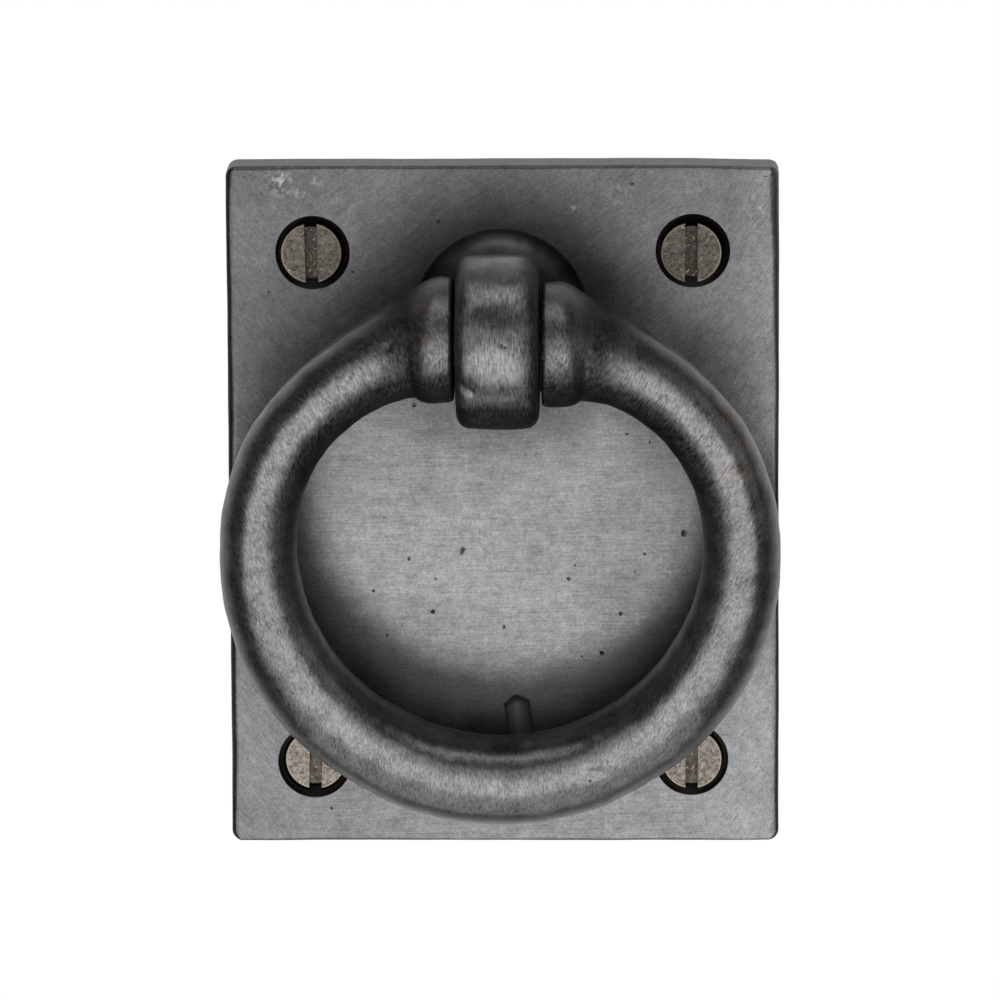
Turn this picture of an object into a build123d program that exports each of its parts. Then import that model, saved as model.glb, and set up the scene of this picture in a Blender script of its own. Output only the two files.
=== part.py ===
from build123d import *
from math import acos, asin, cos, degrees, radians, sin, tan
import os

os.makedirs("parts", exist_ok=True)

# Ring drop pull: a cast ring hinged on a post that stands on a screwed plate.
# Millimetres, +Z up. The origin is the middle of the plate's back face and the front is towards -Y.

# Backplate
plate_width = 50.8
plate_height = 63.5
plate_thickness = 4.76
plate_corner = 1.4
plate_edge_round = 0.8

# Plate screws, slotted and countersunk
screw_spacing_x = 34.925
screw_spacing_z = 47.625
screw_cone_angle = 82.0
screw_rim_radius = 3.43
screw_hole_radius = 1.65
screw_head_radius = 2.81
screw_head_land = 0.15
screw_shank_radius = 1.42
screw_thread_radius = 1.15
screw_length = 19.05
screw_point_length = 3.2
slot_width = 1.1
slot_depth = 0.8

# Post with a round foot, a stem and a flat-sided eye
pivot_height = 17.9
pivot_reach = 14.6
foot_radius = 8.1
foot_height = 3.0
foot_round = 1.3
stem_radius = 3.7
stem_cove = 1.4
eye_radius = 7.95
eye_width = 7.5
eye_round = 1.1

# Screw that holds the post from behind
post_screw_radius = 2.0
post_screw_head_radius = 3.75
post_screw_cone_angle = 90.0
post_screw_sunk = 0.3
post_screw_grip = 7.0
post_screw_slot_width = 1.0
post_screw_slot_depth = 0.9

# Hinge pin
pin_radius = 2.0
pin_hold = 4.2

# Ring: its centre line is nearly a circle that passes a little above the pin
ring_radius = 22.0
ring_rise = 0.8
ring_bend_radius = 10.0
collar_face_radius = 5.5
collar_radius = 5.8
collar_mid_radius = 5.0
bottom_radius = 4.05
bottom_swell = 0.1
collar_crest_heading = 7.0
collar_mid_heading = 16.5

# How far the centre line stands out from the circle, and the bar's radius, by the angle from the top
ring_stations = [
    (28, 0.05, 3.88),
    (36, 0.15, 3.6),
    (48, 0.3, 3.4),
    (60, 0.42, 3.42),
    (74, 0.3, 3.44),
    (90, 0.07, 3.55),
    (105, -0.1, 3.76),
    (120, -0.15, 3.92),
    (135, -0.09, 4.0),
    (150, -0.04, 4.02),
    (165, 0.05, 4.04),
]

# Strike, a ridged key in a slot of the plate
strike_width = 2.3
strike_length = 9.5
strike_height = 1.6
strike_shoulder = 1.0
strike_seat = 1.4
strike_point_angle = 30.0
strike_turn = 7.0
strike_middle_x = 1.78
strike_middle_z = -22.6

# Clearances
seat_clearance = 0.02
running_clearance = 0.05
collar_clearance = 0.42
pin_end_clearance = 0.3
rest_clearance = 0.15


def cone_depth(wide_radius, narrow_radius, angle):
    """Height of a cone between two radii."""
    return (wide_radius - narrow_radius) / tan(radians(angle / 2))


back_plane = Plane.XZ
face_plane = Plane.XZ.offset(plate_thickness)
post_foot_plane = Plane((0, -plate_thickness, pivot_height), x_dir=(1, 0, 0), z_dir=(0, -1, 0))
pin_y = -plate_thickness - pivot_reach
pin_plane = Plane((0, pin_y, pivot_height), x_dir=(0, 1, 0), z_dir=(1, 0, 0))

# The strike lies on the face, turned a little out of upright
strike_lean = radians(strike_turn)
strike_plane = Plane(
    (strike_middle_x, -plate_thickness, strike_middle_z),
    x_dir=(cos(strike_lean), 0, sin(strike_lean)),
    z_dir=(0, -1, 0),
)
strike_section_plane = Plane(strike_plane.origin, x_dir=strike_plane.x_dir, z_dir=strike_plane.y_dir)
strike_half = strike_width / 2
strike_end = strike_length / 2
strike_side_end = strike_end - strike_half * tan(radians(strike_point_angle))
strike_outline = [
    (0, strike_end),
    (strike_half, strike_side_end),
    (strike_half, -strike_side_end),
    (0, -strike_end),
    (-strike_half, -strike_side_end),
    (-strike_half, strike_side_end),
]

# Backplate: soft front edges, four countersunk holes, a hole for the post screw and a slot for the strike
with BuildPart() as backplate:
    with BuildSketch(back_plane):
        RectangleRounded(plate_width, plate_height, plate_corner)
    extrude(amount=plate_thickness)
    fillet(backplate.faces().sort_by(Axis.Y)[0].edges(), plate_edge_round)
    with Locations(face_plane):
        with GridLocations(screw_spacing_x, screw_spacing_z, 2, 2):
            CounterSinkHole(screw_hole_radius, screw_rim_radius, counter_sink_angle=screw_cone_angle)
    with Locations(Plane((0, 0, pivot_height), x_dir=(1, 0, 0), z_dir=(0, 1, 0))):
        CounterSinkHole(
            post_screw_radius + seat_clearance,
            post_screw_head_radius + post_screw_sunk * tan(radians(post_screw_cone_angle / 2)) + seat_clearance,
            counter_sink_angle=post_screw_cone_angle,
        )
    with BuildSketch(strike_plane):
        with BuildLine():
            Polyline(*strike_outline, close=True)
        make_face()
        offset(amount=seat_clearance, kind=Kind.INTERSECTION)
    extrude(amount=-strike_seat, mode=Mode.SUBTRACT)

# Post: turned foot and stem, with a round eye across the end and a cross hole for the pin
with BuildPart() as pivot_post:
    with BuildSketch(post_foot_plane):
        Circle(foot_radius)
    extrude(amount=foot_height)
    fillet(pivot_post.faces().sort_by(Axis.Y)[0].edges(), foot_round)
    with BuildSketch(post_foot_plane.offset(foot_height)):
        Circle(stem_radius)
    extrude(amount=pivot_reach - foot_height)
    fillet(pivot_post.edges().filter_by(GeomType.CIRCLE).filter_by(
        lambda edge: abs(edge.radius - stem_radius) < seat_clearance
    ).sort_by(Axis.Y)[-1], stem_cove)
    with BuildSketch(pin_plane):
        Circle(eye_radius)
    extrude(amount=eye_width / 2, both=True)
    fillet(pivot_post.edges().filter_by(GeomType.CIRCLE).filter_by(
        lambda edge: abs(edge.radius - eye_radius) < seat_clearance
    ), eye_round)
    with BuildSketch(pin_plane):
        Circle(pin_radius)
    extrude(amount=eye_width / 2, both=True, mode=Mode.SUBTRACT)
    with BuildSketch(post_foot_plane):
        Circle(post_screw_radius + seat_clearance)
    extrude(amount=post_screw_grip + pin_end_clearance, mode=Mode.SUBTRACT)

# Post screw: countersunk head in the back of the plate, shank up into the stem
post_screw_head_height = cone_depth(post_screw_head_radius, post_screw_radius, post_screw_cone_angle)
post_screw_end = plate_thickness + post_screw_grip
with BuildPart() as post_screw:
    with BuildSketch(Plane((0, 0, pivot_height), x_dir=(1, 0, 0), z_dir=(0, 0, 1))):
        with BuildLine():
            Polyline(
                (0, -post_screw_sunk),
                (post_screw_head_radius, -post_screw_sunk),
                (post_screw_radius, -post_screw_sunk - post_screw_head_height),
                (post_screw_radius, -post_screw_end),
                (0, -post_screw_end),
                close=True,
            )
        make_face()
    revolve(axis=Axis((0, 0, pivot_height), (0, 1, 0)))
    with BuildSketch(Plane((0, -post_screw_sunk, pivot_height), x_dir=(1, 0, 0), z_dir=(0, -1, 0))):
        Rectangle(2 * post_screw_head_radius, post_screw_slot_width)
    extrude(amount=post_screw_slot_depth, mode=Mode.SUBTRACT)

# Hinge pin: pressed in the eye, its ends stand in the ring's collars
collar_face = eye_width / 2 + collar_clearance
pin_half = collar_face + pin_hold
with BuildPart() as hinge_pin:
    with BuildSketch(pin_plane):
        Circle(pin_radius)
    extrude(amount=pin_half, both=True)
    chamfer(hinge_pin.edges().filter_by(GeomType.CIRCLE), pin_end_clearance)

# Strike: a key with a pointed plan and a gabled top
with BuildPart() as strike:
    with BuildSketch(strike_plane.offset(-strike_seat)):
        with BuildLine():
            Polyline(*strike_outline, close=True)
        make_face()
    extrude(amount=strike_seat + strike_height)
    with BuildSketch(strike_section_plane):
        with BuildLine():
            Polyline(
                (-strike_half, strike_seat),
                (strike_half, strike_seat),
                (strike_half, -strike_shoulder),
                (0, -strike_height),
                (-strike_half, -strike_shoulder),
                close=True,
            )
        make_face()
    extrude(amount=strike_end, both=True, mode=Mode.INTERSECT)

# Ring: it leans back from the pin until its bottom rests on the strike
ring_middle = ring_radius - ring_rise
ring_drop = ring_middle + ring_radius + bottom_swell
rest_lean = asin((pivot_reach - strike_height - rest_clearance - bottom_radius) / ring_drop)
ring_plane = Plane(
    (0, pin_y, pivot_height),
    x_dir=(1, 0, 0),
    z_dir=(0, -cos(rest_lean), -sin(rest_lean)),
)
bend_heading = degrees(acos((ring_middle - ring_bend_radius) / (ring_radius - ring_bend_radius)))
bend_start = (ring_radius - ring_bend_radius) * sin(radians(bend_heading))


def section_plane(heading, swell):
    """Plane across the ring's bar at an angle that runs from the right collar round the bottom to the left one."""
    side = 1 if heading <= 180 else -1
    turn = radians(min(heading, 360 - heading))
    if degrees(turn) <= bend_heading:
        across = bend_start + ring_bend_radius * sin(turn)
        up = ring_bend_radius * (cos(turn) - 1)
    else:
        across = (ring_radius + swell) * sin(turn)
        up = (ring_radius + swell) * cos(turn) - ring_middle
    along = ring_plane.x_dir * cos(radians(heading)) - ring_plane.y_dir * sin(radians(heading))
    return Plane(ring_plane.from_local_coords((side * across, up, 0)), x_dir=ring_plane.z_dir, z_dir=along)


right_stations = [
    (collar_crest_heading, 0, collar_radius),
    (collar_mid_heading, 0, collar_mid_radius),
] + ring_stations
left_stations = [(360 - heading, swell, radius) for heading, swell, radius in reversed(right_stations)]
stations = right_stations + [(180, bottom_swell, bottom_radius)] + left_stations

with BuildPart() as ring:
    with BuildSketch(pin_plane.offset(collar_face)):
        Circle(collar_face_radius)
    for heading, swell, radius in stations:
        with BuildSketch(section_plane(heading, swell)):
            Circle(radius)
    with BuildSketch(pin_plane.offset(-collar_face)):
        Circle(collar_face_radius)
    loft()
    for side in (1, -1):
        with BuildSketch(pin_plane.offset(side * collar_face)):
            Circle(pin_radius + running_clearance)
        extrude(amount=side * (pin_hold + pin_end_clearance), mode=Mode.SUBTRACT)

# Plate screws: one slotted countersunk screw, set in each hole of the plate
screw_sunk = cone_depth(screw_rim_radius - seat_clearance, screw_head_radius, screw_cone_angle) - screw_head_land
screw_head_height = screw_head_land + cone_depth(screw_head_radius, screw_shank_radius, screw_cone_angle)
screw_shank_end = plate_thickness - screw_sunk
with BuildPart() as screw:
    with BuildSketch(Plane.XZ):
        with BuildLine():
            Polyline(
                (0, 0),
                (screw_head_radius, 0),
                (screw_head_radius, -screw_head_land),
                (screw_shank_radius, -screw_head_height),
                (screw_shank_radius, -screw_shank_end),
                (screw_thread_radius, -screw_shank_end),
                (screw_thread_radius, screw_point_length - screw_length),
                (0, -screw_length),
                close=True,
            )
        make_face()
    revolve(axis=Axis.Z)
    with BuildSketch(Plane.XY):
        Rectangle(slot_width, 2 * screw_head_radius)
    extrude(amount=-slot_depth, mode=Mode.SUBTRACT)

with BuildPart() as plate_screws:
    with Locations(face_plane.offset(-screw_sunk)):
        with GridLocations(screw_spacing_x, screw_spacing_z, 2, 2):
            add(screw.part)

for name, builder in [
    ("backplate", backplate),
    ("pivot_post", pivot_post),
    ("post_screw", post_screw),
    ("hinge_pin", hinge_pin),
    ("strike", strike),
    ("ring", ring),
    ("plate_screws", plate_screws),
]:
    builder.part.label = name
    export_step(builder.part, f"parts/{name}.step")
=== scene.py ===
import math

import bmesh
import bpy
import numpy as np
from mathutils import Matrix, Vector


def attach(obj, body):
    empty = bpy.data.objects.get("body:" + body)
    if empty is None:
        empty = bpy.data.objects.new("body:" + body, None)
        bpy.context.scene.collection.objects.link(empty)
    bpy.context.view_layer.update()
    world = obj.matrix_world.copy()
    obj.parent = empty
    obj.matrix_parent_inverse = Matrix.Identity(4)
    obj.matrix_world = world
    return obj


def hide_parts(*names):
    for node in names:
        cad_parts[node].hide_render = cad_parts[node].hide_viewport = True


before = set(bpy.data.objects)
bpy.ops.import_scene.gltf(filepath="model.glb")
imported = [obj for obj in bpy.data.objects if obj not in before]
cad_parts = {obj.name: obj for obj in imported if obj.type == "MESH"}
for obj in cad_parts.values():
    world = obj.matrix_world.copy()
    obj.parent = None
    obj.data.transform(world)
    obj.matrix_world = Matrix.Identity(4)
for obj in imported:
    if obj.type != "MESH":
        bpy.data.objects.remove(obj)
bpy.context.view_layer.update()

# Backplate
# A flat bronze casting with its edges broken by hand with a file, countersunk for four wood screws.
# Its front is brushed and then darkened with a patina. A screw from behind holds the post, and a slot holds the strike.
plate_width, plate_height, plate_thickness = 50.8, 63.5, 4.76
plate_corner = 1.0
edge_rounds = {"right": 0.5, "top": 0.32, "left": 0.7, "bottom": 0.3}
# What the right edge gains towards its top, and the heights between which it gains it
top_right_round, top_right_from, top_right_to = 0.6, 10, 26
plate_shift, plate_spread = 0.15, 0.03
back_edge, front_land = 0.15, 0.12
edge_steps, corner_steps = 8, 12
straight_step = 0.8
screw_spacing_x, screw_spacing_z = 34.925, 47.625
hole_shifts = {(-1, 1): (0.18, -0.13), (1, 1): (0.17, 0.0), (-1, -1): (-0.02, -0.36), (1, -1): (0.0, -0.15)}
sink_rim_radius, sink_hole_radius, sink_angle = 3.43, 1.65, 82.0
pivot_height = 17.9
post_hole_radius, post_sink_radius = 2.02, 4.07
overcut = 0.1
turned_steps = 96
plate_crease = 38


def skin(name, loops, joined=False):
    """A mesh over loops of points in millimetres, with flat ends unless the last loop joins the first."""
    count, size = len(loops), len(loops[0])
    faces = []
    for i in range(count if joined else count - 1):
        near, far = i * size, (i + 1) % count * size
        for j in range(size):
            k = (j + 1) % size
            faces.append((near + j, near + k, far + k, far + j))
    if not joined:
        faces.append(tuple(range(size)))
        faces.append(tuple(range((count - 1) * size, count * size)))
    mesh = bpy.data.meshes.new(name)
    mesh.from_pydata((np.concatenate(loops) / 1000).tolist(), [], faces)
    shell = bmesh.new()
    shell.from_mesh(mesh)
    bmesh.ops.recalc_face_normals(shell, faces=shell.faces)
    shell.to_mesh(mesh)
    shell.free()
    piece = bpy.data.objects.new(name, mesh)
    bpy.context.scene.collection.objects.link(piece)
    return piece


def turned_loop(radius, y, angles, x=0.0, z=0.0):
    """One loop of a turned solid whose axis runs along Y at x, z."""
    return np.stack([x + radius * np.cos(angles), np.full(len(angles), y), z + radius * np.sin(angles)], -1)


def turned(name, profile, x, z, steps):
    """A turned solid with its axis along Y at x, z, from pairs of radius and y in millimetres."""
    angles = np.linspace(0, 2 * np.pi, steps, endpoint=False)
    return skin(name, [turned_loop(radius, y, angles, x, z) for radius, y in profile])


def settle(piece):
    """Turns what a piece's modifiers give into its plain mesh."""
    rough = piece.data
    piece.data = bpy.data.meshes.new_from_object(piece.evaluated_get(bpy.context.evaluated_depsgraph_get()))
    piece.modifiers.clear()
    bpy.data.meshes.remove(rough)


def machine(piece, tools, operation="DIFFERENCE"):
    """Cuts tools out of a piece or welds them to it, and puts the tools away."""
    for tool in tools:
        step = piece.modifiers.new(tool.name, "BOOLEAN")
        step.operation, step.object, step.solver = operation, tool, "EXACT"
    settle(piece)
    for tool in tools:
        bpy.data.objects.remove(tool)


def shade(piece, crease):
    """Smooth shading with a crease at edges sharper than an angle, and flat faces kept flat."""
    piece.data.polygons.foreach_set("use_smooth", [True] * len(piece.data.polygons))
    piece.data.set_sharp_from_angle(angle=math.radians(crease))
    step = piece.modifiers.new("flat_faces", "WEIGHTED_NORMAL")
    step.keep_sharp = True
    settle(piece)


outline = []
half_x, half_z = plate_width / 2 - plate_corner, plate_height / 2 - plate_corner
for quarter, (side_x, side_z) in enumerate([(1, 1), (-1, 1), (-1, -1), (1, -1)]):
    for step in range(corner_steps + 1):
        angle = math.pi / 2 * (quarter + step / corner_steps)
        outline.append((side_x * half_x + plate_corner * math.cos(angle),
                        side_z * half_z + plate_corner * math.sin(angle), angle))
    run = plate_width - 2 * plate_corner if quarter % 2 == 0 else plate_height - 2 * plate_corner
    x, z, angle = outline[-1]
    for step in range(1, int(run / straight_step)):
        along = run * step / int(run / straight_step)
        outline.append((x - along * math.sin(angle), z + along * math.cos(angle), angle))
outline = np.array(outline)
outline[:, 0] += plate_shift + plate_spread * np.sign(outline[:, 0])
normal_x, normal_z = np.cos(outline[:, 2]), np.sin(outline[:, 2])
rounds = (edge_rounds["right"] * np.maximum(normal_x, 0) ** 2 + edge_rounds["left"] * np.minimum(normal_x, 0) ** 2
          + edge_rounds["top"] * np.maximum(normal_z, 0) ** 2 + edge_rounds["bottom"] * np.minimum(normal_z, 0) ** 2)
top_right = np.clip((outline[:, 1] - top_right_from) / (top_right_to - top_right_from), 0, 1)
rounds += top_right_round * np.maximum(normal_x, 0) ** 2 * top_right
# The file's strokes leave the edges a little wavy, and it took more off the top edge towards its two corners
turn = np.linspace(0, 2 * np.pi, len(outline), endpoint=False)
rounds *= 1 + 0.12 * np.sin(9 * turn + 1.0) + 0.08 * np.sin(23 * turn + 2.1)
filed = 0.035 + 0.018 * np.sin(7 * turn + 0.4) + 0.01 * np.sin(19 * turn + 1.7) + 0.006 * np.sin(43 * turn)
filed += 0.12 * np.maximum(normal_z, 0) * np.clip((np.abs(outline[:, 0] + 1.5) - 17) / 8, 0, 1) ** 2


def plate_loop(inset, depth):
    """The plate's outline, set in along its normals, at a distance in front of the back face."""
    return np.stack([outline[:, 0] - inset * normal_x, -depth * np.ones(len(outline)),
                     outline[:, 1] - inset * normal_z], -1)


plate_loops = [plate_loop(filed + back_edge, 0.0), plate_loop(filed, back_edge)]
for step in range(edge_steps + 1):
    bend = math.pi / 2 * step / edge_steps
    plate_loops.append(plate_loop(filed + rounds * (1 - math.cos(bend)),
                                  plate_thickness - rounds * (1 - math.sin(bend))))
plate_loops.append(plate_loop(filed + rounds + front_land, plate_thickness))
backplate = skin("cast_plate", plate_loops)

sink_slope = math.tan(math.radians(sink_angle / 2))
sink_depth = (sink_rim_radius - sink_hole_radius) / sink_slope
sink_profile = [(sink_rim_radius + overcut * sink_slope, -plate_thickness - overcut),
                (sink_hole_radius, -plate_thickness + sink_depth), (sink_hole_radius, overcut)]
drills = [turned("screw_sink", sink_profile, shift_x + side_x * screw_spacing_x / 2,
                 shift_z + side_z * screw_spacing_z / 2, turned_steps)
          for (side_x, side_z), (shift_x, shift_z) in hole_shifts.items()]
drills.append(turned("post_sink", [(post_hole_radius, -plate_thickness - overcut),
                                   (post_hole_radius, post_hole_radius - post_sink_radius),
                                   (post_sink_radius + overcut, overcut)], 0, pivot_height, turned_steps))
strike_width, strike_length, strike_seat, strike_play = 2.3, 9.5, 1.4, 0.02
strike_middle, strike_turn, strike_point = (1.78, -22.6), math.radians(7.0), math.radians(30.0)


def strike_plan(grow):
    """The strike's pointed plan as x, z on the plate, grown by a clearance."""
    half, end = strike_width / 2 + grow, strike_length / 2 + grow / math.cos(strike_point)
    side = end - half * math.tan(strike_point)
    plan = np.array([(0, end), (half, side), (half, -side), (0, -end), (-half, -side), (-half, side)])
    across, along = plan[:, 0], plan[:, 1]
    return np.stack([strike_middle[0] + across * math.cos(strike_turn) - along * math.sin(strike_turn),
                     strike_middle[1] + across * math.sin(strike_turn) + along * math.cos(strike_turn)], -1)


slot_plan = strike_plan(strike_play)
drills.append(skin("strike_slot", [np.insert(slot_plan, 1, depth, axis=1)
                                   for depth in (-plate_thickness - overcut, -plate_thickness + strike_seat)]))
machine(backplate, drills)
shade(backplate, plate_crease)


def linear(code):
    """An sRGB hex colour as the linear colour that a shader takes."""
    channels = [int(code[i:i + 2], 16) / 255 for i in (0, 2, 4)]
    return [c / 12.92 if c <= 0.04045 else ((c + 0.055) / 1.055) ** 2.4 for c in channels] + [1.0]


def add_node(tree, kind, links=None, **settings):
    """Adds a node with its settings. Its inputs, by name or number, are set to a value, or linked to a socket or to
    another node's first live output."""
    node = tree.nodes.new(kind)
    for name, value in settings.items():
        setattr(node, name, value)
    for name, value in (links or {}).items():
        if isinstance(value, bpy.types.Node):
            value = next(output for output in value.outputs if output.enabled)
        if isinstance(value, bpy.types.NodeSocket):
            tree.links.new(value, node.inputs[name])
        else:
            node.inputs[name].default_value = value
    return node


def new_finish(name):
    """A material, its empty node tree, and the place on a piece that its patterns read, in metres."""
    finish = bpy.data.materials.new(name)
    finish.use_nodes = True
    finish.node_tree.nodes.clear()
    return finish, finish.node_tree, add_node(finish.node_tree, "ShaderNodeTexCoord").outputs["Object"]


def add_up(tree, layers, start=0.0):
    """A start and some layers added up, each layer by its share."""
    total = start
    for layer, share in layers:
        total = add_node(tree, "ShaderNodeMath", {0: layer, 1: share, 2: total}, operation="MULTIPLY_ADD")
    return total


def covered(tree, place, marks, edge=1.0, heart=0.0, ragged=None, falloff="SMOOTHSTEP"):
    """How far round marks cover a surface, from rows of x, y, z, radius and strength. Each grows from its edge to its
    heart, which are shares of the radius."""
    cover = None
    for x, y, z, radius, strength in marks:
        reach = add_node(tree, "ShaderNodeVectorMath", {0: place, 1: (x / 1000, y / 1000, z / 1000)},
                         operation="DISTANCE")
        if ragged is not None:
            reach = add_node(tree, "ShaderNodeMath", {0: reach, 1: ragged}, operation="ADD")
        mark = add_node(tree, "ShaderNodeMapRange", {"Value": reach, "From Min": edge * radius / 1000,
            "From Max": heart * radius / 1000, "To Max": strength},
                        interpolation_type=falloff)
        cover = mark if cover is None else add_node(tree, "ShaderNodeMath", {0: cover, 1: mark}, operation="MAXIMUM")
    return cover


def from_holes(tree, place):
    """How far a place lies from the middle of the nearest screw hole, as seen from the front."""
    hole = (-screw_spacing_x / 2000, 0, -screw_spacing_z / 2000)
    away = add_node(tree, "ShaderNodeVectorMath", {0: place}, operation="ABSOLUTE")
    away = add_node(tree, "ShaderNodeVectorMath", {0: away, 1: (1, 0, 1), 2: hole}, operation="MULTIPLY_ADD")
    return add_node(tree, "ShaderNodeVectorMath", {0: away}, operation="LENGTH")


# Brushed bronze under a dark patina: a grey metal with fine strokes of the brush, which run level inside the ring
# and slant near the two long edges, cloudy patches, casting pits filled with polish, and pale scuffs. A real brush's
# strokes are finer: here and on the ring they are drawn as coarse as they need to be to show.
stroke_length, stroke_width = 0.0042, 0.00017
plate_bronze, tree, place = new_finish("brushed_bronze")
spot = add_node(tree, "ShaderNodeSeparateXYZ", {0: place}).outputs
clouds, grit, patches = [
    add_node(tree, "ShaderNodeTexNoise", {"Vector": place, "Scale": 1 / size, "Detail": detail, "Roughness": harshness})
    for size, detail, harshness in [(0.0055, 5.0, 0.62), (0.00035, 2.0, 0.6), (0.0012, 3.0, 0.6)]]
strokes = {}
for name, slant, length in [("level", 1.5, 1.0), ("left", -52.0, 0.45), ("right", 58.0, 0.45), ("crossing", 36.0, 0.8)]:
    laid = add_node(tree, "ShaderNodeMapping", {"Vector": place, "Rotation": (0, math.radians(-slant), 0),
        "Scale": (stroke_length * length, 1, stroke_width)},
                    vector_type="TEXTURE")
    strokes[name] = add_node(tree, "ShaderNodeTexNoise", {"Vector": laid, "Scale": 1.0, "Detail": 3.0,
        "Roughness": 0.65})
strayed = add_node(tree, "ShaderNodeMath", {0: clouds, 1: 0.016, 2: -0.008}, operation="MULTIPLY_ADD")
strayed = add_node(tree, "ShaderNodeMath", {0: spot["X"], 1: strayed}, operation="ADD")
brushed = strokes["level"]
for name, reading, start, stop in [("crossing", spot["Z"], 0.006, 0.018), ("left", strayed, -0.0165, -0.0215),
                                   ("right", strayed, 0.0165, 0.0215)]:
    part = add_node(tree, "ShaderNodeMapRange", {"Value": reading, "From Min": start, "From Max": stop},
                    interpolation_type="SMOOTHSTEP")
    brushed = add_node(tree, "ShaderNodeMix", {"Factor": part, 2: brushed, 3: strokes[name]})
tone = add_up(tree, [(clouds, 1.1), (brushed, 0.7), (grit, 0.6), (patches, 0.8)], -0.3)
tone = add_node(tree, "ShaderNodeMapRange", {"Value": tone, "From Min": 0.9, "From Max": 1.65})
colour = add_node(tree, "ShaderNodeMix", {"Factor": tone, 6: linear("868689"), 7: linear("b9b9bc")}, data_type="RGBA")
# Darker patina where the ring and the post kept the brush off, with painted shadow of the ring, the post and the arms:
# middle x and z, stretch in x and z, the distances over which it begins and ends, outwards, the heights between which
# it lies, and its strength
patina_and_painted_shadow_zones = [(0.8, 3.4, 1.0, 1.0, (16.3, 21.0), (22.4, 29.5), (-60.0, 1.0), 0.88),
         (-0.2, 18.4, 1.0, 1.1, (-2.0, -1.0), (8.0, 18.0), (-60.0, 60.0), 0.68),
         (-20.5, 16.0, 0.8, 0.8, (-2.0, -1.0), (2.0, 9.0), (-60.0, 60.0), 0.4),
         (20.5, 14.0, 0.8, 0.7, (-2.0, -1.0), (0.5, 6.0), (-60.0, 60.0), 0.18),
         (17.0, -6.0, 0.7, 0.7, (-2.0, -1.0), (2.0, 11.0), (-60.0, 60.0), 0.25),
         (-4.0, -2.9, 1.0, 1.0, (17.0, 20.0), (22.0, 27.5), (6.0, 60.0), 0.35)]
zone_fade = 0.006
darkened = []
dark_patina_and_painted_shade = linear("3c3c3f")
unhandled = add_node(tree, "ShaderNodeMix", {"Factor": 0.45, 6: colour, 7: dark_patina_and_painted_shade}, data_type="RGBA")
for x, z, wide, high, begins, ends, (bottom, top), strength in patina_and_painted_shadow_zones:
    measured = add_node(tree, "ShaderNodeVectorMath", {0: place, 1: (1000 * wide, 0.0, 1000 * high),
                                                       2: (-x * wide, 0.0, -z * high)}, operation="MULTIPLY_ADD")
    measured = add_node(tree, "ShaderNodeVectorMath", {0: measured}, operation="LENGTH")
    measured = add_node(tree, "ShaderNodeMath", {0: clouds, 1: 4.0, 2: measured}, operation="MULTIPLY_ADD")
    measured = add_node(tree, "ShaderNodeMath", {0: measured, 1: -2.0}, operation="ADD")
    zone = add_node(tree, "ShaderNodeMapRange", {"Value": measured, "From Min": begins[0], "From Max": begins[1],
        "To Max": strength}, interpolation_type="SMOOTHSTEP")
    for reading, start, stop in [(measured, *ends), (spot["Z"], top / 1000, top / 1000 + zone_fade),
                                 (spot["Z"], bottom / 1000, bottom / 1000 - zone_fade)]:
        fade = add_node(tree, "ShaderNodeMapRange", {"Value": reading, "From Min": start, "From Max": stop,
            "To Min": 1.0, "To Max": 0.0}, interpolation_type="SMOOTHSTEP")
        zone = add_node(tree, "ShaderNodeMath", {0: zone, 1: fade}, operation="MULTIPLY")
    darkened.append(zone)
# Painted shade darkens the plate towards the top, less so at the right margin, and it is darker at the lower left
upwards = add_node(tree, "ShaderNodeMapRange", {"Value": spot["Z"], "From Min": -0.002, "From Max": 0.030})
upwards = add_node(tree, "ShaderNodeMath", {0: upwards, 1: 0.65}, operation="POWER")
upwards = add_node(tree, "ShaderNodeMath", {0: upwards, 1: 0.48}, operation="MULTIPLY")
right_margin_share = add_node(tree, "ShaderNodeMapRange", {"Value": spot["X"], "From Min": 0.021, "From Max": 0.0252,
    "To Min": 1.0, "To Max": 0.35})
downwards = add_node(tree, "ShaderNodeMapRange", {"Value": spot["Z"], "From Min": -0.008, "From Max": -0.015})
leftwards = add_node(tree, "ShaderNodeMapRange", {"Value": spot["X"], "From Min": 0.02, "From Max": -0.02,
    "To Min": 0.05, "To Max": 0.3})
for darkening, share in [(upwards, right_margin_share), (downwards, leftwards)]:
    darkened.append(add_node(tree, "ShaderNodeMath", {0: darkening, 1: share}, operation="MULTIPLY"))
# Painted shade darkens the rounded long edges, and an even patina covers the sides and the back, which were never
# handled
rim = add_node(tree, "ShaderNodeMath", {0: spot["X"], 1: -plate_shift / 1000}, operation="ADD")
rim = add_node(tree, "ShaderNodeMath", {0: rim}, operation="ABSOLUTE")
rim = add_node(tree, "ShaderNodeMapRange", {"Value": rim, "From Min": 0.0246, "From Max": 0.0253, "To Max": 0.6})
for cover in darkened + [rim]:
    colour = add_node(tree, "ShaderNodeMix", {"Factor": cover, 6: colour, 7: dark_patina_and_painted_shade}, data_type="RGBA")
front = add_node(tree, "ShaderNodeMapRange", {"Value": spot["Y"], "From Min": (1.0 - plate_thickness) / 1000,
    "From Max": (0.4 - plate_thickness) / 1000})
colour = add_node(tree, "ShaderNodeMix", {"Factor": front, 6: unhandled, 7: colour}, data_type="RGBA")
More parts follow.
